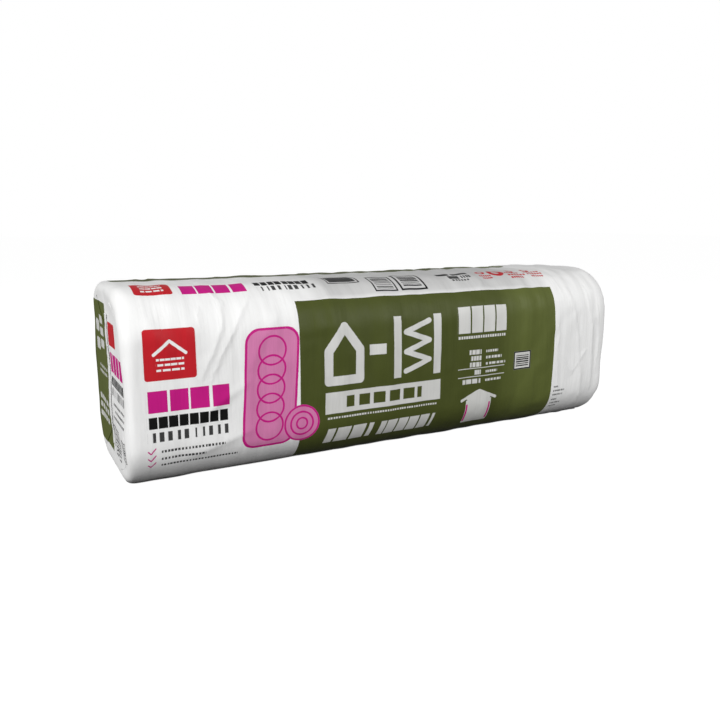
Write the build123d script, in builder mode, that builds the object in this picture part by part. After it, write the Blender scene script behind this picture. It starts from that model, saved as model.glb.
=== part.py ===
"""A bag of kraft faced fiberglass batts, compressed for the shelf.

Seven long batts are each folded in half across their length, with the paper inside the fold,
stood on their long edges and squeezed side by side into a gusseted poly bag.
The bag lies along X and stands on its flat foot. Its broad printed face looks towards -Y.
Millimetres, +Z up, origin under the middle of the bag at the level of its foot.
"""

import os
from math import pi, sqrt

from build123d import *

# One batt as it is cut, before it is folded: 93 in long and 15 in wide
batt_length = 2362.0
batt_width = 381.0
batt_count = 7

# The depth that one folded batt takes in the bag, which is two squeezed layers of wool
folded_pitch = 50.4
wool_gap = 0.4

# Kraft facing, with a stapling flange turned in along both long edges of each leg
paper_thickness = 0.4
flange_width = 16.0
flange_end_setback = 30.0
flange_clearance = 5.0
facing_gap = 0.3

# Bag film, and the slack between the film and the wool
film_thickness = 1.0
side_slack = 0.5
end_slack = 17.5

# How far the full bag bulges, and how round its edges are
side_crown = 8.0
top_crown = 5.0
upper_edge_radius = 102.0
lower_edge_radius = 94.0
end_edge_radius = 16.0

# Each end is closed by film folded in from the two broad sides, over tucks from above and below
flap_thickness = 1.2
flap_margin = 26.0
tuck_depth = 62.0
tuck_half_width = 96.0
flap_corner_radius = 6.0

# The two flaps of an end meet in an upright heat-sealed fin with crimped ribs, which is pressed
# flat towards the broad printed face
seal_offset = 2.0
fin_thickness = 2.4
fin_width = 24.0
fin_end_margin = 30.0
fin_corner_radius = 3.0
seal_rib_height = 0.6
seal_rib_width = 2.4
seal_rib_pitch = 5.0
seal_rib_count = 3

# One overrun for every cut and every blank that is trimmed to shape
overrun = 20.0

# Sizes that follow from the ones above
layer_bend = pi * folded_pitch / 4
folded_length = (batt_length - layer_bend) / 2 + folded_pitch / 2
bag_length = folded_length + 2 * (film_thickness + end_slack)
bag_depth = batt_count * folded_pitch + 2 * (film_thickness + side_slack)
bag_height = batt_width + 2 * (film_thickness + side_slack)
wool_inset = film_thickness + side_slack
fold_radius = (folded_pitch - wool_gap) / 2
slot_half = 2 * paper_thickness + facing_gap / 2
fold_centre_x = -folded_length / 2 + folded_pitch / 2
free_end_x = folded_length / 2


def bag_form(inset):
    """The closed outer shape of the full bag, drawn inset inside the film's outer face."""
    half_length = bag_length / 2 - inset
    low, high = inset, bag_height - inset
    edge_y = bag_depth / 2 - inset - side_crown
    edge_z = high - top_crown
    with BuildPart() as form:
        with BuildSketch(Plane.YZ.offset(-half_length)) as section:
            with BuildLine():
                Line((-edge_y, low), (edge_y, low))
                SagittaArc((edge_y, low), (edge_y, edge_z), -side_crown)
                SagittaArc((edge_y, edge_z), (-edge_y, edge_z), -top_crown)
                SagittaArc((-edge_y, edge_z), (-edge_y, low), -side_crown)
            make_face()
            fillet(section.vertices().group_by(Axis.Y)[0], lower_edge_radius - inset)
            fillet(section.vertices().group_by(Axis.Y)[-1], upper_edge_radius - inset)
        extrude(amount=2 * half_length)
        ends = form.faces().sort_by(Axis.X)
        fillet(ends[0].edges() + ends[-1].edges(), end_edge_radius - inset)
    return form.part


def squeezed_reach(y):
    """How high and how low a sheet standing at y can reach inside the bag's rounded edges."""
    reaches = []
    for edge_radius, crown in ((lower_edge_radius, 0), (upper_edge_radius, top_crown)):
        corner_radius = edge_radius - wool_inset
        corner_y = bag_depth / 2 - wool_inset - side_crown - corner_radius
        past_corner = max(abs(y) - corner_y, 0)
        drop = corner_radius - sqrt(corner_radius**2 - past_corner**2)
        reaches.append(wool_inset + crown + drop + flange_clearance)
    return reaches[0], bag_height - reaches[1]


def hairpin(radius):
    """A folded strip seen from above: half-round at the fold, square across its two free ends."""
    with BuildSketch() as strip:
        with BuildLine():
            Line((free_end_x, radius), (fold_centre_x, radius))
            ThreePointArc(
                (fold_centre_x, radius), (fold_centre_x - radius, 0), (fold_centre_x, -radius)
            )
            Line((fold_centre_x, -radius), (free_end_x, -radius))
            Line((free_end_x, -radius), (free_end_x, radius))
        make_face()
    return strip.sketch


# The two flaps of each end, notched where the tucks from above and below run in under them
flap_depth = bag_depth - 2 * flap_margin
flap_height = bag_height - 2 * flap_margin
with BuildPart() as flaps:
    with BuildSketch(Plane.YZ.offset(-bag_length / 2 - overrun)) as flap_outline:
        with Locations((0, bag_height / 2)):
            Rectangle(flap_depth, flap_height)
        fillet(flap_outline.vertices().group_by(Axis.Y)[0], lower_edge_radius - flap_margin)
        fillet(flap_outline.vertices().group_by(Axis.Y)[-1], upper_edge_radius - flap_margin)
        with BuildSketch(mode=Mode.SUBTRACT) as tucks:
            for side in (-1, 1):
                tuck_edge_z = bag_height / 2 + side * flap_height / 2
                with BuildLine():
                    Polyline(
                        (seal_offset - tuck_half_width, tuck_edge_z),
                        (seal_offset, tuck_edge_z - side * tuck_depth),
                        (seal_offset + tuck_half_width, tuck_edge_z),
                        close=True,
                    )
                make_face()
            tips = tucks.vertices().filter_by(lambda tip: abs(tip.X - seal_offset) < fin_width)
            fillet(tips, flap_corner_radius)
    extrude(amount=bag_length + 2 * overrun)
    add(bag_form(-flap_thickness), mode=Mode.INTERSECT)

# The heat-sealed fins, one on each end, with their crimped ribs
fin_centre_y = seal_offset - fin_width / 2
fin_height = bag_height - 2 * (flap_margin + fin_end_margin)
with BuildPart() as fins:
    with BuildSketch(Plane.YZ.offset(-bag_length / 2 - overrun)):
        with Locations((fin_centre_y, bag_height / 2)):
            RectangleRounded(fin_width, fin_height, fin_corner_radius)
    extrude(amount=bag_length + 2 * overrun)
    add(bag_form(-fin_thickness), mode=Mode.INTERSECT)

rib_length = fin_height - 2 * fin_corner_radius
with BuildPart() as seal_ribs:
    with BuildSketch(Plane.YZ.offset(-bag_length / 2 - overrun)):
        with Locations((fin_centre_y, bag_height / 2)):
            with GridLocations(seal_rib_pitch, 0, seal_rib_count, 1):
                Rectangle(seal_rib_width, rib_length)
    extrude(amount=bag_length + 2 * overrun)
    add(bag_form(-fin_thickness - seal_rib_height), mode=Mode.INTERSECT)

# The bag itself: one closed skin of film with its flaps and fins
with BuildPart() as poly_bag:
    add(bag_form(0))
    add(flaps.part)
    add(fins.part)
    add(seal_ribs.part)
    add(bag_form(film_thickness), mode=Mode.SUBTRACT)
poly_bag.part.label = "poly_bag"

# The seven folded batts, outer ones squeezed lower by the round edges of the bag
wool_room = bag_form(wool_inset)
wool_batts = []
facings = []
for number in range(batt_count):
    batt_y = (number - (batt_count - 1) / 2) * folded_pitch
    low, high = squeezed_reach(abs(batt_y) + slot_half)

    with BuildPart() as glass_wool_batt:
        with BuildSketch(Plane((0, batt_y, -overrun))):
            add(hairpin(fold_radius))
            add(hairpin(slot_half), mode=Mode.SUBTRACT)
        extrude(amount=bag_height + 2 * overrun)
        add(wool_room, mode=Mode.INTERSECT)
    glass_wool_batt.part.label = f"glass_wool_batt_{number + 1}"
    wool_batts.append(glass_wool_batt.part)

    with BuildPart() as kraft_facing:
        with BuildSketch(Plane((0, batt_y, low))):
            add(hairpin(slot_half))
            add(hairpin(slot_half - paper_thickness), mode=Mode.SUBTRACT)
        extrude(amount=high - low)
        flange_start_x = fold_centre_x + flange_end_setback
        for flange_z in (low, high - flange_width):
            with BuildSketch(Plane((0, batt_y, flange_z))):
                for side in (-1, 1):
                    flange_y = side * (slot_half - 1.5 * paper_thickness)
                    with Locations(((flange_start_x + free_end_x) / 2, flange_y)):
                        Rectangle(free_end_x - flange_start_x, paper_thickness)
            extrude(amount=flange_width)
    kraft_facing.part.label = f"kraft_facing_{number + 1}"
    facings.append(kraft_facing.part)

if __name__ == "__main__":
    os.makedirs("parts", exist_ok=True)
    export_step(poly_bag.part, "parts/poly_bag.step")
    for wool_batt, facing in zip(wool_batts, facings):
        export_step(wool_batt, f"parts/{wool_batt.label}.step")
        export_step(facing, f"parts/{facing.label}.step")
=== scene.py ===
"""Dresses a shelf-packed bag of seven folded glass wool batts.

The film of the bag is a cloth that is pressed onto the pack of batts, longer than the pack, so that
it gathers into upright folds. Its print is generic: plain blocks, bars, rules and pictograms.
Metres, in the frame of the part: X along the bag, -Y towards the broad printed face, +Z up.
"""

import math
import random

import bmesh
import bpy
import numpy as np
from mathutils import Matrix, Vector, noise
from mathutils.bvhtree import BVHTree


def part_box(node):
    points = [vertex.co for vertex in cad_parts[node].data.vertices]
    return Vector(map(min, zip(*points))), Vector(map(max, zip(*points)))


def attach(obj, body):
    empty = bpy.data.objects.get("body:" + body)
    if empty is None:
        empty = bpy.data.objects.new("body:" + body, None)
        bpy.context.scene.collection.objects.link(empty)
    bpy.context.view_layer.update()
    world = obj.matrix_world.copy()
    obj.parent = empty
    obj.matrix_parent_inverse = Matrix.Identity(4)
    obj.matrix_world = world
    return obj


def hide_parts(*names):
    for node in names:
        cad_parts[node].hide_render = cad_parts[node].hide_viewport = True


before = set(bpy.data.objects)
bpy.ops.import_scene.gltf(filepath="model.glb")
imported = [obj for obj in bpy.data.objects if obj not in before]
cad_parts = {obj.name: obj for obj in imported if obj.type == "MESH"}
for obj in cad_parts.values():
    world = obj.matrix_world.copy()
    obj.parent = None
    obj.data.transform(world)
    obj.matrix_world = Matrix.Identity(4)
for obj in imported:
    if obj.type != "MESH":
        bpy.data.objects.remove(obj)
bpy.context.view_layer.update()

MM = 0.001

# The bag as the part's source has it: its box, its bulge and how round its edges are
bag_low, bag_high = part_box("poly_bag")
fin_proud = 3.0 * MM
half_length = bag_high.x - fin_proud
half_depth = bag_high.y
bag_height = bag_high.z
side_crown = 8.0 * MM
top_crown = 5.0 * MM
upper_edge_radius = 102.0 * MM
lower_edge_radius = 94.0 * MM
end_edge_radius = 16.0 * MM

# The grid of the film before it is subdivided: squares across, up and along the bag
squares_across = 30
squares_up = 34
squares_along = 92
bend_steps = 3
around = 2 * (squares_across + squares_up)

# How finely the outline of the bag is counted: on each arc, round the whole bag, and round a flap
arc_points = 50
girth_points = 1400
flap_edge_points = 1200

# The film against the pack: room to start with, and how much longer it is cut than it needs
start_room = 2.0 * MM
press_clearance = 1.5 * MM
spare_everywhere_share = 0.014
spare_right_share = 0.030
spare_right_from, spare_right_rise = 0.47, 0.03
spare_left_share = 0.018
spare_left_from, spare_left_rise = 0.30, 0.05
spare_girth_share = 0.001
press_frames = 16
left_drawn_in = 3.0 * MM
right_drawn_in = 9.0 * MM
end_drop = 9.0 * MM
drawn_in_from = 22.0 * MM
drawn_in_to = 2.0 * MM

# How far out the film starts before it is pressed, in millimetres: long waves, small ones, and the
# pleats of the right end
seed_wave, seed_small, seed_pleat = 3.4, 1.0, 6.0

cloth_settings = {
    "quality": 6,
    "mass": 0.15,
    "tension_stiffness": 700.0,
    "compression_stiffness": 700.0,
    "shear_stiffness": 60.0,
    "bending_stiffness": 0.2,
    "tension_damping": 8.0,
    "compression_damping": 8.0,
    "air_damping": 2.0,
    "use_pressure": True,
    "uniform_pressure_force": -0.8,
}

# How each end is closed: two flaps over tucks from above and below, and a fin where the flaps meet
seal_y = 2.0 * MM
fin_width = 24.0 * MM
fin_height = bag_height - 112.0 * MM
flap_margin = 26.0 * MM
tuck_depth = 62.0 * MM
tuck_half_width = 96.0 * MM
flap_rows, flap_columns = 84, 26
flap_inset = 1.0 * MM
flap_thick = 0.4 * MM
fin_rows, fin_columns, fin_ribs = 120, 25, 3
fin_thick = 0.8 * MM
sheet_gap = 0.1 * MM

# A place on the UV maps, in metres, that no print reaches
off_print = (10.0, 10.0)

# Creases of the film in millimetres: places along and round the bag, height, and width
creases = (
    (((-421, 504), (-423, 449), (-444, 398), (-471, 348)), 3.2, 8),
    (((-360, 505), (-401, 438), (-428, 391), (-452, 342)), 2.8, 8),
    (((-465, 486), (-468, 446)), 1.8, 6),
    (((-372, 333), (-436, 295), (-490, 255)), 4.2, 18),
    (((-360, 236), (-434, 212), (-510, 190)), 4.2, 18),
    (((-300, 470), (-340, 420), (-372, 352)), 2.6, 15),
    (((-560, 470), (-548, 430), (-520, 400)), 2.4, 14),
    (((-440, 545), (-425, 504)), 2.2, 7),
    (((435, 335), (461, 303), (497, 258)), 2.6, 6),
    (((540, 316), (515, 282), (494, 256)), 2.6, 6),
    (((433, 407), (449, 363), (439, 320), (454, 222)), 1.8, 6),
    (((480, 480), (509, 369), (524, 251), (536, 160)), 3.2, 8),
    (((541, 480), (559, 365), (568, 210)), 3.4, 8),
    (((574, 430), (585, 347), (581, 250)), 2.6, 7),
    (((195, 494), (216, 380)), 1.5, 8),
    (((359, 496), (363, 400)), 1.5, 8),
    (((231, 522), (209, 484)), 1.8, 6),
    (((349, 520), (347, 484)), 1.8, 6),
    (((141, 392), (171, 295)), 1.2, 9),
    (((-190, 475), (-181, 390), (-194, 306)), 1.3, 10),
    (((-26, 476), (-19, 380)), 1.2, 9),
    (((348, 575), (282, 508)), 1.6, 7),
    (((452, 535), (460, 470)), 1.8, 7),
)
stray_crease_count = 46

# By this share a crease is steeper on one side and less steep on the other
crease_lean = 0.45
# Which creases also get a sharp line, and how wide, high and wavy it is, in millimetres
line_over_height = 1.7
line_under_width = 10
line_width_share = 4.0
line_relief_share = 0.085
line_sway = 7.0


def crown_arc(span, rise):
    """Radius of the arc that rises this much over this span."""
    return (span**2 / 4 + rise**2) / (2 * rise)


def half_outline():
    """The arcs up one broad side: centre, radius, and the angles at both ends.

    The first number of a centre counts outward from the bag's middle.
    """
    edge, high = half_depth - side_crown, bag_height - top_crown
    side_radius, top_radius = crown_arc(high, side_crown), crown_arc(2 * edge, top_crown)
    side = np.array([half_depth - side_radius, high / 2])
    top = np.array([0.0, bag_height - top_radius])
    drop = side[1] - lower_edge_radius
    run = math.sqrt((side_radius - lower_edge_radius) ** 2 - drop**2)
    lower = np.array([side[0] + run, lower_edge_radius])
    to_side, to_top = side_radius - upper_edge_radius, top_radius - upper_edge_radius
    apart = np.linalg.norm(top - side)
    toward = (top - side) / apart
    share = (to_side**2 - to_top**2 + apart**2) / (2 * apart)
    off = math.sqrt(to_side**2 - share**2)
    upper = side + share * toward + off * np.array([-toward[1], toward[0]])
    low_turn = math.atan2(*(lower - side)[::-1])
    high_turn = math.atan2(*(upper - side)[::-1])
    top_turn = math.atan2(*(upper - top)[::-1])
    return (
        (lower, lower_edge_radius, -math.pi / 2, low_turn),
        (side, side_radius, low_turn, high_turn),
        (upper, upper_edge_radius, high_turn, top_turn),
        (top, top_radius, top_turn, math.pi / 2),
    )


def outline_points(inset, count):
    """Even points (y, z) round the bag, from under its middle and up the front.

    The last point meets the first. Also gives the length round the bag.
    """
    half = [(0.0, inset)]
    for centre, radius, start, end in half_outline():
        for angle in np.linspace(start, end, arc_points):
            half.append(tuple(centre + (radius - inset) * np.array([math.cos(angle), math.sin(angle)])))
    points = np.array([(-out, z) for out, z in half] + half[::-1])
    steps = np.linalg.norm(np.diff(points, axis=0), axis=1)
    place = np.concatenate([[0.0], np.cumsum(steps)])
    even = np.linspace(0.0, place[-1], count)
    return np.column_stack([np.interp(even, place, points[:, k]) for k in range(2)]), place[-1]


girth_line, girth = outline_points(0.0, girth_points)


def mix(low, high, share):
    """Between low and high, by this share."""
    return (1 - share) * low + share * high


def cap_faces(points, x, first):
    """The faces of a square grid that fills one end inside its last ring.

    first is the number of the ring's first point. The grid's own points are added to points.
    """
    ring = np.array([points[first + i][1:] for i in range(around)])
    start = squares_across // 2
    front = [(start + k) % around for k in range(squares_up + 1)]
    top = [(start + squares_up + k) % around for k in range(squares_across + 1)]
    back = [(start + 2 * squares_up + squares_across - k) % around for k in range(squares_up + 1)]
    bottom = [(start - k) % around for k in range(squares_across + 1)]
    numbers = {}
    for k in range(squares_up + 1):
        numbers[0, k] = first + front[k]
        numbers[squares_across, k] = first + back[k]
    for k in range(squares_across + 1):
        numbers[k, 0] = first + bottom[k]
        numbers[k, squares_up] = first + top[k]
    for i in range(1, squares_across):
        for k in range(1, squares_up):
            u, v = i / squares_across, k / squares_up
            across = mix(ring[bottom[i]], ring[top[i]], v)
            upward = mix(ring[front[k]], ring[back[k]], u)
            twice = mix(mix(ring[bottom[0]], ring[top[0]], v), mix(ring[bottom[-1]], ring[top[-1]], v), u)
            numbers[i, k] = len(points)
            points.append((x, *(across + upward - twice)))
    for i in range(squares_across):
        for k in range(squares_up):
            corners = (numbers[i, k], numbers[i + 1, k], numbers[i + 1, k + 1], numbers[i, k + 1])
            yield corners if x < 0 else corners[::-1]


def closed_object(name, points, faces):
    """A new object of these points and faces, all turned outward."""
    mesh = bpy.data.meshes.new(name)
    mesh.from_pydata(points, [], faces)
    turned = bmesh.new()
    turned.from_mesh(mesh)
    bmesh.ops.recalc_face_normals(turned, faces=turned.faces)
    turned.to_mesh(mesh)
    turned.free()
    return linked_object(name, mesh)


def linked_object(name, data):
    """A new object of this mesh, lamp or camera, in the scene."""
    made = bpy.data.objects.new(name, data)
    bpy.context.collection.objects.link(made)
    return made


def bag_form(name, room):
    """The bag's form in square faces, room outside its true size."""
    reach = half_length + room
    bend = end_edge_radius + room
    turns = np.linspace(math.pi / 2, 0.0, bend_steps, endpoint=False)
    left_bend = [(-reach + bend * (1 - math.sin(a)), bend * (1 - math.cos(a))) for a in turns]
    stations = [(x, 0.0) for x in np.linspace(-reach + bend, reach - bend, squares_along + 1)]
    right_bend = [(-x, inset) for x, inset in reversed(left_bend)]
    rings = left_bend + stations + right_bend
    points = []
    for x, inset in rings:
        line, _ = outline_points(inset - room, around + 1)
        points += [(x, y, z) for y, z in line[:-1]]
    faces = []
    for r in range(len(rings) - 1):
        for i in range(around):
            j = (i + 1) % around
            a, b = r * around, (r + 1) * around
            faces.append((a + i, a + j, b + j, b + i))
    for ring in (0, len(rings) - 1):
        faces += cap_faces(points, rings[ring][0], ring * around)
    return closed_object(name, points, faces)


def rows_of(items, name):
    """One vector of each item, such as a vertex's place, as rows of three numbers."""
    flat = np.empty(len(items) * 3)
    items.foreach_get(name, flat)
    return flat.reshape(-1, 3)


def rest_places(mesh):
    """Where each vertex was before the film was pressed and folded."""
    return rows_of(mesh.attributes["rest_place"].data, "vector")


def smooth_step(low, high, value):
    """0 below low, 1 above high, and a smooth rise between them."""
    t = np.clip((value - low) / (high - low), 0.0, 1.0)
    return t * t * (3 - 2 * t)


def crease_seed(place):
    """How far out a point of the film starts, which guides the folds."""
    x, y, z = place
    upright = noise.noise(Vector((x * 24.0 + z * 1.5, y * 3.0, z * 3.0)))
    slanted = noise.noise(Vector(((x + 0.55 * z - 0.25 * y) * 17.0, (z - x) * 2.2, y * 3.0)))
    small = noise.noise(Vector(place) * 30.0)
    sway = 0.035 * noise.noise(Vector((x * 4.0, y * 6.0, z * 6.0)))
    pleats = noise.noise(Vector(((x + sway) * 44.0, y * 4.0 + 7.0, z * 2.4)))
    at_right = float(smooth_step(0.40, 0.52, x))
    at_left = float(smooth_step(0.25, 0.4, -x))
    out = (1 - at_left) * upright + at_left * 1.3 * slanted
    off_foot = 0.35 + 0.65 * float(smooth_step(0.03, 0.10, z))
    return off_foot * (seed_wave * out + seed_small * small + seed_pleat * at_right * pleats) * MM


def spare_length(x):
    """The share that the film is cut longer than the pack, at x along the bag."""
    right = 1 / (1 + np.exp(-(x - spare_right_from) / spare_right_rise))
    left = 1 / (1 + np.exp((x + spare_left_from) / spare_left_rise))
    return spare_everywhere_share + spare_right_share * right + spare_left_share * left


def pack_block():
    """What the film is pressed onto: the bag's form with its ends drawn in."""
    pack = bag_form("pack_block", -press_clearance)
    places = rows_of(pack.data.vertices, "co")
    at_end = smooth_step(half_length - drawn_in_from, half_length - drawn_in_to, np.abs(places[:, 0]))
    places[:, 0] += np.where(places[:, 0] < 0, left_drawn_in, -right_drawn_in) * at_end
    places[:, 2] -= end_drop * at_end * (places[:, 2] / bag_height) ** 3
    pack.data.vertices.foreach_set("co", places.ravel())
    return pack


def press_film_onto_pack():
    """The film of the bag, a cloth that is pressed onto the pack of batts."""
    pack = pack_block()
    film = bag_form("film_cloth", start_room)
    flat = rows_of(film.data.vertices, "co")
    rest_place = film.data.attributes.new("rest_place", "FLOAT_VECTOR", "POINT")
    rest_place.data.foreach_set("vector", flat.ravel())
    for vertex in film.data.vertices:
        vertex.co += vertex.normal * crease_seed(tuple(flat[vertex.index]))
    film.shape_key_add(name="fitted")
    cut = film.shape_key_add(name="as_cut")
    runs = np.linspace(-1.1 * half_length, 1.1 * half_length, 400)
    spare = np.concatenate([[0.0], np.cumsum(spare_length(runs[1:]) * np.diff(runs))])
    spare -= np.interp(0.0, runs, spare)
    longer = flat.copy()
    longer[:, 0] += np.interp(flat[:, 0], runs, spare)
    longer[:, 1] *= 1 + spare_girth_share
    longer[:, 2] = bag_height / 2 + (flat[:, 2] - bag_height / 2) * (1 + spare_girth_share)
    cut.data.foreach_set("co", longer.ravel())
    cut.value = 0.0
    pack.modifiers.new("solid_pack", "COLLISION")
    pack.collision.thickness_outer = 1.0 * MM
    pack.collision.cloth_friction = 5.0
    cloth = film.modifiers.new("cloth", "CLOTH")
    for name, value in cloth_settings.items():
        setattr(cloth.settings, name, value)
    cloth.settings.effector_weights.gravity = 0.0
    cloth.settings.rest_shape_key = cut
    cloth.collision_settings.distance_min = 1.0 * MM
    cloth.collision_settings.collision_quality = 3
    cloth.point_cache.frame_start = 1
    cloth.point_cache.frame_end = press_frames
    for number in range(1, press_frames + 1):
        bpy.context.scene.frame_set(number)
    finer = film.modifiers.new("finer", "SUBSURF")
    finer.levels = finer.render_levels = 1
    graph = bpy.context.evaluated_depsgraph_get()
    pressed = film.evaluated_get(graph)
    mesh = bpy.data.meshes.new_from_object(pressed, preserve_all_data_layers=True, depsgraph=graph)
    mesh.name = "printed_bag"
    raise_creases(mesh)
    for spent in (film, pack):
        spent_mesh = spent.data
        bpy.data.objects.remove(spent)
        bpy.data.meshes.remove(spent_mesh)
    bpy.context.scene.frame_set(1)
    return mesh


def stray_creases():
    """Small creases of the top and the back, most of them near the ends."""
    draw = random.Random(11)
    for _ in range(stray_crease_count):
        toward_end = draw.random() ** 0.45
        x = draw.choice((-1, 1)) * toward_end * 0.95 * half_length / MM
        s = draw.uniform(560.0, 1290.0)
        slant, reach = draw.uniform(-0.5, 0.5), draw.uniform(35.0, 110.0)
        bend = draw.uniform(-12.0, 12.0)
        line = ((x - slant * reach, s - reach), (x + bend, s), (x + slant * reach, s + reach))
        yield line, draw.uniform(1.0, 2.8), draw.uniform(5.0, 11.0)


def crease_height(places, line, height, width):
    """How far one crease lifts the film at each place along and round the bag."""
    nearest = np.full(len(places), np.inf)
    side = along = np.zeros(len(places))
    line = np.array(line, float) * MM
    lengths = np.linalg.norm(np.diff(line, axis=0), axis=1)
    starts = np.concatenate([[0.0], np.cumsum(lengths)])
    for first, last, length, start in zip(line, line[1:], lengths, starts):
        run = (last - first) / length
        reach = np.clip((places - first) @ run, 0.0, length)
        off = places - first - reach[:, None] * run
        distance = np.hypot(*off.T)
        closer = distance < nearest
        nearest = np.where(closer, distance, nearest)
        side = np.where(closer, np.sign(off @ (run[1], -run[0])), side)
        along = np.where(closer, (start + reach) / starts[-1], along)
    taper = np.sqrt(np.clip(np.sin(math.pi * along), 0.0, 1.0))
    slope = width * MM * (1.0 + crease_lean * side)
    return height * MM * taper * np.exp(-nearest / slope)


def raise_creases(mesh):
    """Lifts the creases out of the pressed film, and keeps it at or above the floor."""
    rest = rest_places(mesh)
    x = rest[:, 0]
    on_map = np.column_stack([x, round_the_bag(rest)])
    lift = np.zeros(len(rest))
    for crease in (*creases, *stray_creases()):
        lift = np.maximum(lift, crease_height(on_map, *crease))
    on_side = smooth_step(half_length - 0.2 * end_edge_radius, half_length - end_edge_radius, np.abs(x))
    normals = rows_of(mesh.vertices, "normal")
    places = rows_of(mesh.vertices, "co") + normals * (lift * on_side)[:, None]
    places[:, 2] = np.maximum(places[:, 2], bag_low.z)
    mesh.vertices.foreach_set("co", places.ravel())
    mesh.update()


def round_the_bag(places):
    """How far each place is round the bag, from under its middle and up the front."""
    found = np.empty(len(places))
    steps = np.linspace(0.0, girth, len(girth_line))
    batch = 4000
    for begin in range(0, len(places), batch):
        part = places[begin : begin + batch, 1:]
        gaps = ((part[:, None, :] - girth_line[None, :, :]) ** 2).sum(axis=2)
        found[begin : begin + batch] = steps[gaps.argmin(axis=1)]
    return found


def print_maps(mesh):
    """Two new UV maps in metres: along and round the bag, and across and up an end."""
    return [mesh.uv_layers.new(name=name) for name in ("side_print", "end_print")]


def lay_out_print(mesh):
    """Lays the two print maps onto the pressed film."""
    rest = rest_places(mesh)
    s = round_the_bag(rest)
    side_print, end_print = print_maps(mesh)
    flat_from = half_length - 0.3 * end_edge_radius
    for face in mesh.polygons:
        corners = list(face.vertices)
        middle_x = rest[corners, 0].mean()
        on_end = abs(middle_x) > flat_from
        on_left_end = on_end and middle_x < 0
        places = s[corners]
        if places.max() - places.min() > girth / 2:
            places = np.where(places < girth / 2, places + girth, places)
        for loop, corner, place in zip(face.loop_indices, corners, places):
            x, y, z = rest[corner]
            side_print.data[loop].uv = off_print if on_end else (x, place)
            end_print.data[loop].uv = (y, z) if on_left_end else off_print


class Wiring:
    """Short calls for adding nodes to one node tree."""

    def __init__(self, tree):
        self.tree = tree

    def add(self, kind, *values, **settings):
        """A new node with these settings, its inputs fed in order."""
        node = self.tree.nodes.new(kind)
        for name, value in settings.items():
            setattr(node, name, value)
        for socket, value in zip(node.inputs, values):
            self.feed(socket, value)
        return node

    def fill(self, node, **values):
        """Feeds a node's inputs by name, with low lines for spaces."""
        for name, value in values.items():
            self.feed(node.inputs[name.replace("_", " ")], value)
        return node

    def feed(self, socket, value):
        """Links an output to the socket, or sets its own value."""
        if isinstance(value, bpy.types.NodeSocket):
            self.tree.links.new(value, socket)
        else:
            socket.default_value = value

    def math(self, operation, *values, clamp=False):
        """One Math node's result."""
        return self.add("ShaderNodeMath", *values, operation=operation, use_clamp=clamp).outputs[0]

    def vector(self, operation, *values):
        """One Vector Math node's result."""
        node = self.add("ShaderNodeVectorMath", *values, operation=operation)
        return node.outputs["Value" if operation in ("LENGTH", "DOT_PRODUCT") else "Vector"]

    def scaled(self, vector, amount):
        """The vector times a number."""
        node = self.add("ShaderNodeVectorMath", vector, operation="SCALE")
        return self.fill(node, Scale=amount).outputs[0]

    def across(self, vector):
        """The first number of a vector."""
        return self.vector("DOT_PRODUCT", vector, (1.0, 0.0, 0.0))

    def upward(self, vector):
        """The second number of a vector."""
        return self.vector("DOT_PRODUCT", vector, (0.0, 1.0, 0.0))

    def joined(self, x, y, z=0.0):
        """A vector of three numbers."""
        return self.add("ShaderNodeCombineXYZ", x, y, z).outputs[0]

    def place(self, made, **values):
        """The outputs of a node group placed with these values."""
        return self.fill(self.add("ShaderNodeGroup", node_tree=made), **values).outputs

    def noise(self, vector, scale, detail=3.0, roughness=0.5):
        """One Noise Texture's factor."""
        node = self.add("ShaderNodeTexNoise")
        self.fill(node, Vector=vector, Scale=scale, Detail=detail, Roughness=roughness)
        return node.outputs["Fac"]

    def ramp(self, value, start, end):
        """A straight line that is 0 where the value is start and 1 where it is end."""
        rise = 1.0 / (end - start)
        return self.math("MULTIPLY_ADD", value, rise, -start * rise)

    def uneven(self, value, seed):
        """A number from 0 to 1 that looks random, one for each whole value."""
        turn = self.math("MULTIPLY_ADD", self.math("FLOOR", value), uneven_turn, seed)
        return self.math("FRACT", self.math("MULTIPLY", self.math("SINE", turn), uneven_spread))

    def less(self, mask, hole):
        """Where the mask is and the hole is not."""
        return self.math("MINIMUM", mask, self.math("SUBTRACT", 1.0, hole))

    def blend(self, mask, under, over):
        """The colour under, covered by over where the mask is 1 or more."""
        node = self.add("ShaderNodeMix", mask, data_type="RGBA")
        self.feed(node.inputs[6], under)
        self.feed(node.inputs[7], over)
        return node.outputs[2]

    def any_of(self, masks):
        """Where any of the masks is. Each is joined on as soon as it is made."""
        result = None
        for mask in masks:
            result = mask if result is None else self.math("MAXIMUM", result, mask)
        return result

    def give(self, result, **masks):
        """Feeds each output named with where any of its masks is."""
        for name, parts in masks.items():
            self.feed(result[name], self.any_of(parts))

    def object_point(self):
        """The place on the object, in metres."""
        return self.add("ShaderNodeTexCoord").outputs["Object"]

    def relieve(self, shader, height, strength, distance):
        """Gives the shader a relief, with distance in metres for a height of 1."""
        bump = self.fill(self.add("ShaderNodeBump"), Strength=strength, Distance=distance, Height=height)
        self.feed(shader.inputs["Normal"], bump.outputs[0])


# The sockets of node groups that carry vectors. The others carry a number.
vector_sockets = ("Place", "Point", "Centre", "Core", "Start", "Run", "Share Of Run", "Offset")
# These scatter whole numbers so that they look random
uneven_turn, uneven_spread = 12.9898, 437.5855
# A mask is half a millimetre more than how deep a point lies inside a printed shape, so that it
# passes from 0 to 1 over the shape's edge. It is only held between 0 and 1 where it mixes colours.
edge_soft = 0.5


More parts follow.
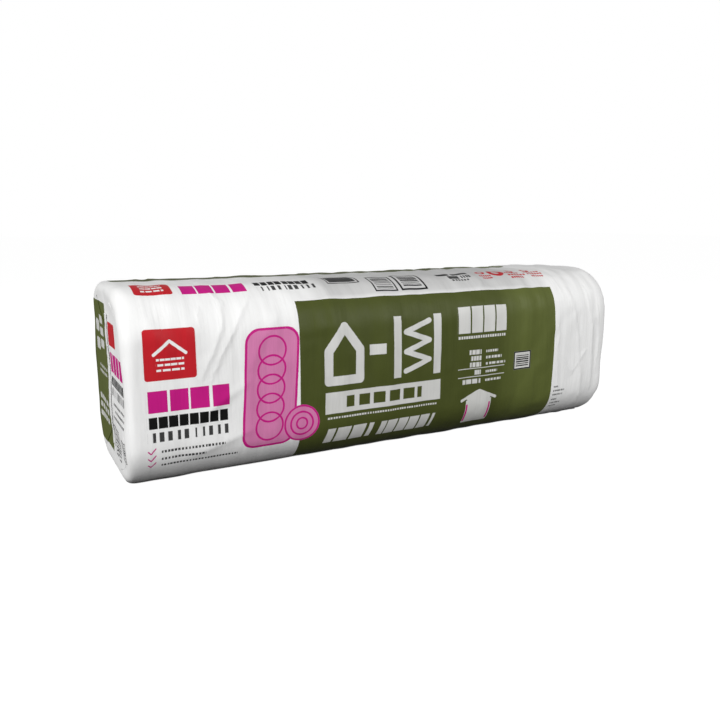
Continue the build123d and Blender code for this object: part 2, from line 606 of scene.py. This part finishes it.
def new_group(name, inputs, outputs):
    """An empty node group, its wiring, what it is given and what it results in."""
    tree = bpy.data.node_groups.new(name, "ShaderNodeTree")
    for in_out, sockets in (("INPUT", inputs), ("OUTPUT", outputs)):
        for socket in sockets:
            kind = "NodeSocketVector" if socket in vector_sockets else "NodeSocketFloat"
            tree.interface.new_socket(socket, in_out=in_out, socket_type=kind)
    wiring = Wiring(tree)
    return tree, wiring, wiring.add("NodeGroupInput").outputs, wiring.add("NodeGroupOutput").inputs


def block_group():
    """A printed block. Core is half its size less its corners, and ink goes Reach past that."""
    inputs = ["Place", "Centre", "Core", "Reach"]
    tree, w, given, result = new_group("printed_block", inputs, ["Mask", "Offset"])
    offset = w.vector("SUBTRACT", given["Place"], given["Centre"])
    past = w.vector("SUBTRACT", w.vector("ABSOLUTE", offset), given["Core"])
    past = w.vector("MAXIMUM", past, (0.0, 0.0, 0.0))
    w.feed(result["Offset"], offset)
    w.feed(result["Mask"], w.math("SUBTRACT", given["Reach"], w.vector("LENGTH", past)))
    return tree


def stroke_group():
    """A straight stroke with round ends. Share Of Run is the run over its own length squared."""
    inputs = ["Place", "Start", "Run", "Share Of Run", "Reach"]
    tree, w, given, result = new_group("printed_stroke", inputs, ["Mask"])
    within = w.vector("SUBTRACT", given["Place"], given["Start"])
    share = w.vector("DOT_PRODUCT", within, given["Share Of Run"])
    share = w.math("MINIMUM", w.math("MAXIMUM", share, 0.0), 1.0)
    gap = w.vector("SUBTRACT", within, w.scaled(given["Run"], share))
    w.feed(result["Mask"], w.math("SUBTRACT", given["Reach"], w.vector("LENGTH", gap)))
    return tree


def ring_group():
    """A printed ring and the disc inside its outer edge."""
    inputs = ["Place", "Centre", "Radius", "Reach"]
    tree, w, given, result = new_group("printed_ring", inputs, ["Mask", "Disc"])
    out = w.vector("LENGTH", w.vector("SUBTRACT", given["Place"], given["Centre"]))
    past = w.math("SUBTRACT", out, given["Radius"])
    w.feed(result["Mask"], w.math("SUBTRACT", given["Reach"], w.math("ABSOLUTE", past)))
    w.feed(result["Disc"], w.math("SUBTRACT", given["Reach"], past))
    return tree


def row_group(block):
    """A row of plain blocks with uneven gaps between them."""
    shared = ["Place", "Centre", "Core", "Reach"]
    tree, w, given, result = new_group("block_row", [*shared, "Pitch", "Gap", "Seed"], ["Mask"])
    whole = w.place(block, **{name: given[name] for name in shared})
    cell = w.math("DIVIDE", w.across(whole["Offset"]), given["Pitch"])
    gap = w.math("MULTIPLY", given["Gap"], w.math("ADD", w.uneven(cell, given["Seed"]), 0.6))
    room = w.math("SUBTRACT", w.math("FRACT", cell), gap)
    solid = w.math("MULTIPLY_ADD", room, given["Pitch"], edge_soft)
    w.feed(result["Mask"], w.math("MINIMUM", whole["Mask"], solid))
    return tree


class Printer:
    """Prints with the shared groups, in millimetres. Deep is more than any print measures."""

    deep = 1000.0

    def __init__(self, wiring, tools, place):
        self.w = wiring
        self.tools = tools
        self.at = place

    def leaned(self, amount, up):
        """The same printer on a page that leans to the right above the height up."""
        height = self.w.upward(self.at)
        past = self.w.math("SUBTRACT", height, up)
        moved = self.w.math("MULTIPLY_ADD", past, -amount, self.w.across(self.at))
        return Printer(self.w, self.tools, self.w.joined(moved, height))

    def placed(self, tool, thick, **values):
        """A tool placed with these values and ink this thick."""
        reach = thick / 2 + edge_soft
        return self.w.place(self.tools[tool], Place=self.at, Reach=reach, **values)

    def boxed(self, tool, left, right, low, high, corner, **values):
        """A tool placed between four edges."""
        centre = ((left + right) / 2, (low + high) / 2, 0.0)
        core = ((right - left) / 2 - corner, (high - low) / 2 - corner, self.deep)
        return self.placed(tool, 2 * corner, Centre=centre, Core=core, **values)["Mask"]

    def block(self, left, right, low, high, corner=edge_soft):
        """A block between these four edges."""
        return self.boxed("block", left, right, low, high, corner)

    def row(self, left, right, low, high, blocks, gap, seed):
        """A row of plain blocks between these four edges."""
        pitch = (right - left) / blocks
        return self.boxed("row", left, right, low, high, edge_soft, Pitch=pitch, Gap=gap, Seed=seed)

    def label(self, left, right, low, high, edge, pitch, seed):
        """A barred label: where it is pale and where it is dark."""
        w = self.w

        def shrunk(by):
            return self.block(left + by, right - by, low + by, high - by, 1.0)

        whole = shrunk(0.0)
        line = w.math("DIVIDE", w.upward(self.at), pitch)
        width = w.math("MULTIPLY_ADD", w.uneven(line, seed), 0.5, 0.25)
        bars = w.math("MINIMUM", w.math("LESS_THAN", w.math("FRACT", line), width), shrunk(2.2 * edge))
        return whole, w.math("MAXIMUM", bars, w.less(whole, shrunk(edge)))

    def path(self, points, thick):
        """Strokes from point to point, one mask after the other."""
        for (x, y), (next_x, next_y) in zip(points, points[1:]):
            run = Vector((next_x - x, next_y - y, 0.0))
            share = run / run.length_squared
            yield self.placed("stroke", thick, Start=(x, y, 0.0), Run=run, Share_Of_Run=share)["Mask"]

    def ring(self, centre, radius, thick, output="Mask"):
        """A ring, or with output Disc all that is inside it."""
        return self.placed("ring", thick, Centre=(*centre, 0.0), Radius=radius)[output]


def new_page(name, tools, outputs):
    """An empty group for print, its wiring, its printer and its outputs."""
    tree, wiring, given, result = new_group(name, ["Place"], outputs)
    return tree, wiring, Printer(wiring, tools, given["Place"]), result


def green_panel_group(tools):
    """What stands on a green panel, counted from its left edge and from under the bag."""
    tree, w, p, result = new_page("green_panel", tools, ["Pale", "Magenta", "Black"])

    def pictograms():
        yield from p.path([(70, 312), (70, 376), (107, 426), (144, 376), (144, 312), (70, 312)], 20)
        yield p.block(168, 208, 360, 383)
        yield p.block(228, 248, 303, 440)
        yield p.block(334, 354, 303, 440)
        yield from p.path([(260 + 62 * (k % 2), 316 + 22 * k) for k in range(6)], 12)

    def word_blocks():
        yield w.less(p.block(62, 355, 241, 288), p.row(112, 304, 252, 277, 5, 0.2, 4))
        yield p.row(66, 346, 229, 233.5, 44, 0.3, 9)
        slanted = p.leaned(0.22, 170)
        yield slanted.row(62, 176, 170, 207, 3, 0.16, 12)
        yield slanted.row(194, 338, 170, 207, 5, 0.16, 21)
        yield p.row(401, 545, 388, 450, 4, 0.13, 31)
        yield p.row(402, 542, 375, 381, 20, 0.25, 35)

    def figures():
        for number, (up, start) in enumerate(((342, 436), (327, 440), (312, 438), (293, 452), (272, 418))):
            yield p.row(start, 470, up - 5.5, up + 5.5, 3 + number % 2, 0.14, 50 + number)
            yield p.row(484, 520 + 12 * (number % 3), up - 3, up + 3, 5, 0.25, 60 + number)
        yield p.block(404, 542, 302.5, 304.5)
        yield p.block(404, 542, 282.5, 284.5)

    def arrow():
        yield p.block(432, 507, 162, 226)
        for side in (-1, 1):
            yield from p.path([(469, 248), (469 + side * 50, 227)], 7)
            yield from p.path([(469, 241), (469 + side * 30, 229)], 10)
        yield from p.path([(450, 231), (488, 231)], 14)

    label_pale, label_black = p.label(571, 624, 287, 332, 3.0, 5.0, 5)

    def all_pale():
        yield label_pale
        for part in (pictograms, word_blocks, figures, arrow):
            yield from part()

    arrow_edges = (p.block(left, left + 5, 168, 216) for left in (433, 500))
    w.give(result, Pale=all_pale(), Black=[label_black], Magenta=arrow_edges)
    return tree


def batt_picture(w, p):
    """A batt that leans beside a rolled one: its lines, and the faces that they bound."""
    leaning = p.leaned(0.06, 300)
    slab = leaning.block(-388, -272, 190, 436, 30)
    face = leaning.block(-383, -277, 195, 431, 26)
    roll = (-262, 230)
    roll_face = p.ring(roll, 38, 4, "Disc")

    def slab_lines():
        yield w.less(slab, face)
        for k in range(5):
            yield leaning.ring((-330, 234 + 39 * k), 29, 4)

    def lines():
        yield w.less(w.any_of(slab_lines()), roll_face)
        for radius in (12, 25, 38):
            yield p.ring(roll, radius, 4)

    return w.any_of(lines()), w.math("MAXIMUM", slab, roll_face)


def white_front_group(tools):
    """The print on the white of the broad face, counted from the bag's middle."""
    tree, w, p, result = new_page("white_front", tools, ["Pink", "Magenta", "Red", "Black", "Grey"])
    picture_lines, picture_faces = batt_picture(w, p)

    def magenta():
        yield picture_lines
        yield p.row(-577, -417, 291, 333, 4, 0.13, 80)
        for up in (216, 201, 186):
            yield from p.path([(-577, up + 1), (-572, up - 4), (-563, up + 6)], 2.4)

    def tag_figures():
        yield from p.path([(-558, 401), (-528, 425), (-498, 401)], 6)
        for k in range(3):
            yield p.row(-554, -502, 369 + 10 * k, 373 + 10 * k, 3 + k, 0.12, 70 + k)

    def red():
        yield w.less(p.block(-577, -479, 352, 448, 6), w.any_of(tag_figures()))

    def black():
        yield p.row(-577, -421, 260, 283, 8, 0.16, 90)

    def grey():
        yield p.row(-577, -421, 234, 253, 10, 0.5, 95)
        for up, end, count in ((214, -428, 19), (199, -466, 13), (184, -400, 25)):
            yield p.row(-552, end, up - 2.4, up + 2.4, count, 0.3, 100 + count)
        for up, length in ((228, 14), (217, 38), (206, 34), (192, 18), (181, 34), (170, 26)):
            yield p.row(440, 440 + length, up - 2.2, up + 2.2, 7, 0.3, 120 + up)

    w.give(result, Pink=[picture_faces], Magenta=magenta(), Red=red(), Black=black(), Grey=grey())
    return tree


def top_strip_group(tools):
    """The print along the front of the top, counted from the bag's middle."""
    tree, w, p, result = new_page("top_strip", tools, ["Magenta", "Red", "Black", "Grey"])
    rings = ((258, 563, 9, 6), (300, 556, 16, 12), (352, 566, 9, 6), (404, 568, 9, 6))
    rows = (
        (240, 36, 541), (244, 30, 530), (322, 48, 551), (326, 56, 538), (330, 40, 526),
        (386, 52, 553), (390, 50, 541), (396, 40, 529),
    )

    def tag_figures():
        for k in range(3):
            yield p.row(-562, -519, 535 + 14 * k, 541 + 14 * k, 3 + k, 0.12, 130 + k)

    def red():
        yield w.less(p.block(-577, -504, 522, 584, 6), w.any_of(tag_figures()))
        for across, up, radius, thick in rings:
            yield p.ring((across, up), radius, thick)
        for start, length, up in rows:
            yield p.row(start, start + length, up - 3.4, up + 3.4, 6, 0.22, start)

    def black():
        yield p.label(-170, -92, 537, 596, 3.0, 8.0, 3)[1]
        yield p.label(-68, -9, 501, 563, 3.6, 6.5, 8)[1]
        yield p.label(0, 70, 501, 572, 4.8, 6.5, 13)[1]
        yield p.row(-336, -212, 542, 563, 8, 0.16, 155)
        yield p.block(123, 160, 552, 566, 3)

    def grey():
        yield p.row(-332, -204, 522, 538, 10, 0.5, 160)
        yield p.block(-163, -99, 544, 589)
        yield p.block(166, 214, 552, 564, 3)
        yield p.block(148, 178, 533, 548, 3)
        yield p.row(182, 212, 535, 547, 4, 0.3, 165)
        yield p.row(150, 200, 524, 530, 6, 0.3, 163)

    magenta = p.row(-492, -356, 522, 560, 4, 0.13, 150)
    w.give(result, Magenta=[magenta], Red=red(), Black=black(), Grey=grey())
    return tree


def end_print_group(tools):
    """The print on the left end, counted from its middle and its foot."""
    outputs = ["Green", "Pale", "Magenta", "Red", "Black", "Grey"]
    tree, w, p, result = new_page("end_print", tools, outputs)
    green = p.block(2, 240, 36, 345)
    magenta = p.row(-160, -28, 214, 254, 4, 0.13, 180)
    red = p.block(-98, -28, 268, 315, 5)

    def pale():
        for k in range(3):
            yield p.block(42, 84, 246 + 26 * k, 264 + 26 * k, 4)
        for k in range(2):
            yield p.block(96, 138, 236 + 40 * k, 262 + 40 * k, 6)
        for k in range(2):
            yield p.row(30, 120, 200 - 12 * k, 206 - 12 * k, 7, 0.3, 170 + k)
        for k in range(3):
            yield p.row(30, 140, 84 + 20 * k, 96 + 20 * k, 4, 0.2, 175 + k)

    def black():
        yield p.label(-92, -28, 40, 104, 2.6, 6.0, 17)[1]
        yield p.label(-156, -116, 56, 96, 2.2, 5.0, 23)[1]
        yield p.row(-158, -28, 186, 205, 8, 0.16, 185)

    def grey():
        yield p.row(-158, -28, 165, 181, 10, 0.5, 190)
        for k in range(3):
            yield p.row(-150, -40 - 20 * (k % 2), 148 - 13 * k, 153 - 13 * k, 9, 0.3, 195 + k)

    w.give(result, Green=[green], Pale=pale(), Magenta=[magenta], Red=[red], Black=black(), Grey=grey())
    return tree


def crease_line_group(tools):
    """The sharp lines along the strongest creases of the broad side."""
    tree, w, given, result = new_group("crease_lines", ["Place"], ["Height"])
    sway = w.noise(given["Place"], 0.05, 2.0, 0.5)
    aside = w.math("MULTIPLY_ADD", sway, 2 * line_sway, -line_sway)
    p = Printer(w, tools, w.vector("ADD", given["Place"], w.joined(aside, 0.0)))

    def lines():
        for line, height, width in creases:
            if height > line_over_height and width < line_under_width:
                yield from p.path(line, line_width_share * height)

    ridge = w.math("MAXIMUM", w.any_of(lines()), 0.0)
    w.feed(result["Height"], w.math("MULTIPLY", ridge, line_relief_share))
    return tree


def crinkle_group():
    """Fine relief of film: streaks round the bag, soft dents and crinkles, and a painted shade that
    darkens and lightens the colour along the same streaks.
    """
    tree, w, given, result = new_group("film_crinkle", ["Place", "Point"], ["Height", "Painted Streak Shade"])
    streaks = w.noise(w.vector("MULTIPLY", given["Place"], (0.038, 0.004, 0.0)), 1.0, 3.0, 0.55)
    soft = w.noise(given["Point"], 26.0, 4.0, 0.6)
    ridge = w.math("ABSOLUTE", w.math("SUBTRACT", w.noise(given["Point"], 70.0, 3.0, 0.6), 0.5))
    height = w.math("ADD", w.math("MULTIPLY", streaks, 2.2), w.math("MULTIPLY", soft, 0.5))
    w.feed(result["Height"], w.math("SUBTRACT", height, w.math("MULTIPLY", ridge, 0.35)))
    # Painted shade: the colour is darkened and lightened along the streaks of the relief
    w.feed(result["Painted Streak Shade"], w.math("MULTIPLY_ADD", streaks, 0.22, 0.89))
    return tree


# Inks in the order in which they cover each other
inks = {
    "Green": (0.066, 0.079, 0.018, 1.0),
    "Pale": (0.66, 0.66, 0.64, 1.0),
    "Pink": (0.66, 0.21, 0.42, 1.0),
    "Magenta": (0.55, 0.012, 0.22, 1.0),
    "Red": (0.52, 0.016, 0.024, 1.0),
    "Grey": (0.05, 0.05, 0.05, 1.0),
    "Black": (0.006, 0.006, 0.006, 1.0),
}
green_thin = (0.104, 0.124, 0.031, 1.0)
film_white = (0.86, 0.86, 0.855, 1.0)
# The grey of the painted shade on the top, the back and the foot
film_painted_shade = (0.60, 0.60, 0.595, 1.0)
seal_dull = (0.80, 0.80, 0.79, 1.0)
seal_bright = (0.90, 0.90, 0.895, 1.0)
wool_dark = (0.62, 0.50, 0.25, 1.0)
wool_light = (0.88, 0.80, 0.55, 1.0)
kraft_dark = (0.24, 0.14, 0.07, 1.0)
kraft_light = (0.42, 0.27, 0.14, 1.0)
white_light = (1.0, 1.0, 1.0, 1.0)

# Where the film is painted grey as shade and where the green ink gets thinner, in millimetres: from the
# first place of each pair to the second. The painted shade begins on the top and runs on round the back
# and the foot.
painted_shade_from_left = (-260, -169)
painted_shade_from_right = (430, 330)
painted_shade_round_bag = (480, 500)
thin_ink_along = (250, 320)


def print_colour(w, tools, place):
    """The colour of the printed film at a place in millimetres along and round the bag, with painted shade
    on the top, the back and the foot.
    """
    end_place = w.scaled(w.add("ShaderNodeUVMap", uv_map="end_print").outputs[0], 1 / MM)
    round_bag = girth / MM
    p = Printer(w, tools, place)
    panel = green_panel_group(tools)
    masks = {ink: [] for ink in inks}

    def print_panel(shape, start, turn, up):
        flipped = w.vector("MULTIPLY", place, (turn, turn, 1.0))
        masks["Green"].append(shape)
        for output in w.place(panel, Place=w.vector("ADD", flipped, (start, up, 0.0))):
            masks[output.name].append(w.math("MINIMUM", output, shape))

    print_panel(p.block(-265, 431, 40, 488), 270.0, 1.0, 0.0)
    print_panel(p.block(-592, 431, 677, round_bag - 120), 260.0, -1.0, round_bag)
    for group, where in (
        (white_front_group(tools), place),
        (top_strip_group(tools), place),
        (end_print_group(tools), end_place),
    ):
        for output in w.place(group, Place=where):
            masks[output.name].append(output)
    # Painted shade: between the ends, the film turns grey on the top, the back and the foot
    along = w.across(place)
    between = w.math("MINIMUM", w.ramp(along, *painted_shade_from_left), w.ramp(along, *painted_shade_from_right))
    painted_shade = w.math("MINIMUM", between, w.ramp(w.upward(place), *painted_shade_round_bag))
    colour = w.blend(painted_shade, film_white, film_painted_shade)
    green = w.blend(w.ramp(along, *thin_ink_along), inks["Green"], green_thin)
    for ink, tint in {**inks, "Green": green}.items():
        colour = w.blend(w.any_of(masks[ink]), colour, tint)
    return colour


def new_material(name):
    """A new material, its wiring and its shader."""
    material = bpy.data.materials.new(name)
    material.use_nodes = True
    return material, Wiring(material.node_tree), material.node_tree.nodes["Principled BSDF"]


def printed_film():
    """Glossy white film with its print."""
    material, w, shader = new_material("printed_film")
    block = block_group()
    tools = {"block": block, "stroke": stroke_group(), "ring": ring_group(), "row": row_group(block)}
    place = w.scaled(w.add("ShaderNodeUVMap", uv_map="side_print").outputs[0], 1 / MM)
    colour = print_colour(w, tools, place)
    point = w.object_point()
    crinkle = w.place(crinkle_group(), Place=place, Point=point)
    lines = w.place(crease_line_group(tools), Place=place)
    roughness = w.math("MULTIPLY_ADD", w.noise(point, 40.0), 0.12, 0.42)
    # The film's colour is scaled by the painted streak shade
    w.fill(shader, Base_Color=w.scaled(colour, crinkle["Painted Streak Shade"]), Roughness=roughness)
    w.fill(shader, IOR=1.5, Specular_IOR_Level=0.12)
    w.relieve(shader, w.math("ADD", crinkle["Height"], lines["Height"]), 0.6, 1.5 * MM)
    return material


def seal_film():
    """The doubled, heat-sealed film of the fins."""
    material, w, shader = new_material("sealed_film")
    point = w.object_point()
    haze = w.noise(point, 60.0, 4.0)
    roughness = w.math("MULTIPLY_ADD", haze, 0.2, 0.24)
    w.fill(shader, Base_Color=w.blend(haze, seal_dull, seal_bright), Roughness=roughness)
    w.relieve(shader, w.noise(point, 180.0, 3.0), 0.4, 0.6 * MM)
    return material


def fibre_group():
    """Matted fibre: a tangle of fine threads, and looser clumps."""
    inputs = ["Point", "Scale", "Stretch"]
    tree, w, given, result = new_group("fibre_mat", inputs, ["Threads", "Clumps"])

    def threads():
        for angle in (0.3, 1.4, 2.5):
            turn = w.fill(w.add("ShaderNodeMapping"), Rotation=(angle, 0.0, angle), Vector=given["Point"])
            stretch = w.joined(given["Stretch"], 1.0, 1.0)
            yield w.noise(w.vector("MULTIPLY", turn.outputs[0], stretch), given["Scale"], 4.0, 0.6)

    w.feed(result["Threads"], w.any_of(threads()))
    w.feed(result["Clumps"], w.noise(given["Point"], 14.0, 4.0, 0.6))
    return tree


def matted_material(name, fibres, dark, light, scale, stretch, relief):
    """A matte, fibrous material: wool or paper."""
    material, w, shader = new_material(name)
    mat = w.place(fibres, Point=w.object_point(), Scale=scale, Stretch=stretch)
    tone = w.math("MULTIPLY", mat["Threads"], w.math("ADD", 0.5, mat["Clumps"]), clamp=True)
    w.fill(shader, Base_Color=w.blend(tone, dark, light), Roughness=0.92)
    w.relieve(shader, w.math("ADD", mat["Threads"], mat["Clumps"]), 1.0, relief)
    return material


def dress_batts():
    """Wool and kraft paper on the folded batts inside the bag."""
    fibres = fibre_group()
    wool = matted_material("glass_wool", fibres, wool_dark, wool_light, 90.0, 0.15, 2.0 * MM)
    kraft = matted_material("kraft_paper", fibres, kraft_dark, kraft_light, 240.0, 0.25, 0.3 * MM)
    for name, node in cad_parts.items():
        if name == "poly_bag":
            continue
        node.data.materials.clear()
        node.data.materials.append(wool if name.startswith("glass_wool") else kraft)


def coat(mesh, material):
    """Smooth faces, all of this one material."""
    for face in mesh.polygons:
        face.use_smooth = True
    mesh.materials.clear()
    mesh.materials.append(material)


def make_bag(film):
    """The pressed and folded film with its print."""
    mesh = press_film_onto_pack()
    lay_out_print(mesh)
    bag = linked_object("printed_bag", mesh)
    coat(mesh, film)
    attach(bag, "root")
    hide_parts("poly_bag")
    return bag


def laid_sheet(name, side, rows, thick, below, material):
    """A thin closed sheet laid on the pieces below it at one end.

    rows holds rows of (y, z, lift), where lift is how far its outer face stands off what is below.
    """
    trees = [BVHTree.FromObject(piece, bpy.context.evaluated_depsgraph_get()) for piece in below]
    points = []
    for outer in (False, True):
        for y, z, lift in sum(rows, []):
            hits = [tree.ray_cast(Vector((side, y, z)), Vector((-side, 0.0, 0.0)))[0] for tree in trees]
            surface = max((side * hit.x for hit in hits if hit), default=half_length)
            off = lift if outer else max(lift - thick, sheet_gap)
            points.append((side * (surface + off), y, z))
    across, count = len(rows[0]), len(rows)
    size = across * count
    faces = []
    for k in range(count - 1):
        for i in range(across - 1):
            a = k * across + i
            faces.append((a, a + 1, a + across + 1, a + across))
            faces.append((a + size, a + size + across, a + size + across + 1, a + size + 1))
    grid = np.arange(size).reshape(count, across)
    rim = np.concatenate([grid[0, :-1], grid[:-1, -1], grid[-1, :0:-1], grid[:0:-1, 0]]).tolist()
    for a, b in zip(rim, rim[1:] + rim[:1]):
        faces.append((a, b, b + size, a + size))
    sheet = closed_object(name, points, faces)
    mesh = sheet.data
    side_print, end_print = print_maps(mesh)
    for loop in mesh.loops:
        _, y, z = mesh.vertices[loop.vertex_index].co
        side_print.data[loop.index].uv = off_print
        end_print.data[loop.index].uv = (y, z) if side < 0 else off_print
    coat(mesh, material)
    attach(sheet, "root")
    return sheet


def make_flap(name, side, toward, bag, material):
    """A flap of film folded over one end, from the front (toward is -1) or the back (1)."""
    outline, _ = outline_points(flap_margin, flap_edge_points)
    half = outline[: len(outline) // 2]
    rows = []
    lowest = flap_margin + flap_inset
    for z in np.linspace(lowest, bag_height - lowest, flap_rows):
        outer = np.interp(z, half[:, 1], -half[:, 0])
        from_edge = min(z, bag_height - z) - flap_margin
        inner = tuck_half_width * max(0.0, 1.0 - from_edge / tuck_depth)
        inner = min(inner, outer - flap_inset)
        gather = noise.noise(Vector((side * 2.0 + toward, 3.0, z * 55.0)))
        rows.append([])
        for u in np.linspace(0.0, 1.0, flap_columns):
            out = inner + (outer - inner) * u
            pucker = 1.3 * abs(gather) * math.exp(-out / (40.0 * MM))
            curl = 0.4 * math.exp(-(out - inner) / (7.0 * MM)) * (inner > 0.0)
            lift = (0.3 + (0.4 + pucker + curl) * (1.0 - u**3)) * MM
            rows[-1].append((seal_y + toward * out, z, lift))
    return laid_sheet(name, side, rows, flap_thick, [bag], material)


def make_fin(name, side, below, material):
    """A heat-sealed fin pressed flat on one end, with crimped ribs along it."""
    rows = []
    for v in np.linspace(0.0, 1.0, fin_rows):
        z = bag_height / 2 + fin_height * (v - 0.5)
        sway = 1.8 * MM * noise.noise(Vector((side * 3.0, 0.0, z * 14.0)))
        curl = max(0.0, 1.4 * (0.5 + noise.noise(Vector((side, 5.0, z * 22.0)))))
        rows.append([])
        for u in np.linspace(0.0, 1.0, fin_columns):
            rib = max(0.0, math.sin(math.pi * (2 * fin_ribs * u + 0.5)))
            lift = (1.0 + 0.5 * rib + curl * u * u) * MM
            rows[-1].append((seal_y - fin_width * u + sway * u, z, lift))
    return laid_sheet(name, side, rows, fin_thick, below, material)


def close_ends(bag, film, sealed):
    """The flaps and the fin of both ends."""
    for end, side in (("left", -1), ("right", 1)):
        below = [bag]
        for name, toward in (("front", -1), ("back", 1)):
            below.append(make_flap(f"{end}_flap_{name}", side, toward, bag, film))
        make_fin(f"{end}_fin", side, below, sealed)


# The floor and the world give the bag little light, and are white for the camera. Glossy surfaces
# mirror a share of that white. Within contact_shadow_reach of the bag, the floor's white is darkened into
# a painted contact shadow.
floor_tone = (0.09, 0.09, 0.09, 1.0)
floor_white = 0.985
floor_mirrored = 0.06
contact_shadow_reach = 3.0 * MM
contact_shadow_power = 4.0
world_glow = 0.09
world_mirrored = 0.35


def backdrop_seen(w, mirrored_share):
    """1 for rays that see the backdrop as white, and a share for mirrored ones."""
    path = w.add("ShaderNodeLightPath")
    mirrored = w.math("MULTIPLY", path.outputs["Is Glossy Ray"], mirrored_share)
    seen = w.math("MAXIMUM", path.outputs["Is Camera Ray"], mirrored)
    return w.math("MAXIMUM", seen, path.outputs["Is Transmission Ray"])


def floor_material():
    """A floor that the camera sees as white, with a painted contact shadow as a dark line close under the
    bag.
    """
    material, w, shader = new_material("studio_floor")
    # Painted contact shadow: ambient occlusion darkens the floor's white close under the bag
    contact = w.fill(w.add("ShaderNodeAmbientOcclusion", samples=8), Distance=contact_shadow_reach)
    white = w.math("MULTIPLY", w.math("POWER", contact.outputs["AO"], contact_shadow_power), floor_white)
    glow = w.math("MULTIPLY", backdrop_seen(w, floor_mirrored), white)
    w.fill(shader, Base_Color=floor_tone, Roughness=0.9, Specular_IOR_Level=0.0)
    w.fill(shader, Emission_Color=white_light, Emission_Strength=glow)
    return material


def make_floor():
    """A wide floor under the bag."""
    bpy.ops.mesh.primitive_plane_add(size=40.0, location=(0.0, 0.0, bag_low.z))
    floor = bpy.context.object
    floor.name = "studio_floor"
    floor.data.materials.append(floor_material())


def make_world():
    """White behind the bag, and a soft even light on it."""
    world = bpy.data.worlds.new("studio")
    bpy.context.scene.world = world
    world.use_nodes = True
    w = Wiring(world.node_tree)
    strength = w.math("MULTIPLY_ADD", backdrop_seen(w, world_mirrored), 1 - world_glow, world_glow)
    w.fill(w.tree.nodes["Background"], Color=white_light, Strength=strength)


def area_lamp(name, place, target, size, watts):
    """A square soft lamp aimed at target."""
    light = bpy.data.lights.new(name, "AREA")
    light.size = size
    light.energy = watts
    lamp = linked_object(name, light)
    lamp.location = place
    lamp.rotation_euler = (Vector(target) - Vector(place)).to_track_quat("-Z", "Y").to_euler()
    return lamp


def make_lights():
    """A key lamp from the left, a weaker one from the front, and one behind for the far sides."""
    area_lamp("key_left", (-3.35, -1.7, 1.8), (-0.1, -0.1, 0.2), size=1.4, watts=133.0)
    area_lamp("fill_front", (1.7, -3.2, 1.8), (0.1, 0.0, 0.2), size=1.6, watts=84.0)
    behind = area_lamp("fill_back", (1.2, 3.5, 1.1), (0.0, 0.1, 0.2), size=1.6, watts=85.0)
    behind.visible_glossy = False


def make_camera():
    """The photograph's viewing angle, fitted to the outline of the bag."""
    yaw, pitch, roll = 0.4993, 0.1997, 0.0029
    forward = Vector((math.sin(yaw) * math.cos(pitch), math.cos(yaw) * math.cos(pitch), -math.sin(pitch)))
    data = bpy.data.cameras.new("camera")
    data.sensor_width = 36.0
    data.lens = 35.0
    camera = linked_object("camera", data)
    camera.location = (-828.8 * MM, -1467.2 * MM, 514.6 * MM)
    camera.rotation_euler = forward.to_track_quat("-Z", "Y").to_euler()
    camera.rotation_euler.rotate_axis("Z", roll)
    bpy.context.scene.camera = camera


bpy.context.scene.view_settings.view_transform = "Standard"
make_camera()
make_world()
make_lights()
make_floor()
dress_batts()
film = printed_film()
close_ends(make_bag(film), film, seal_film())
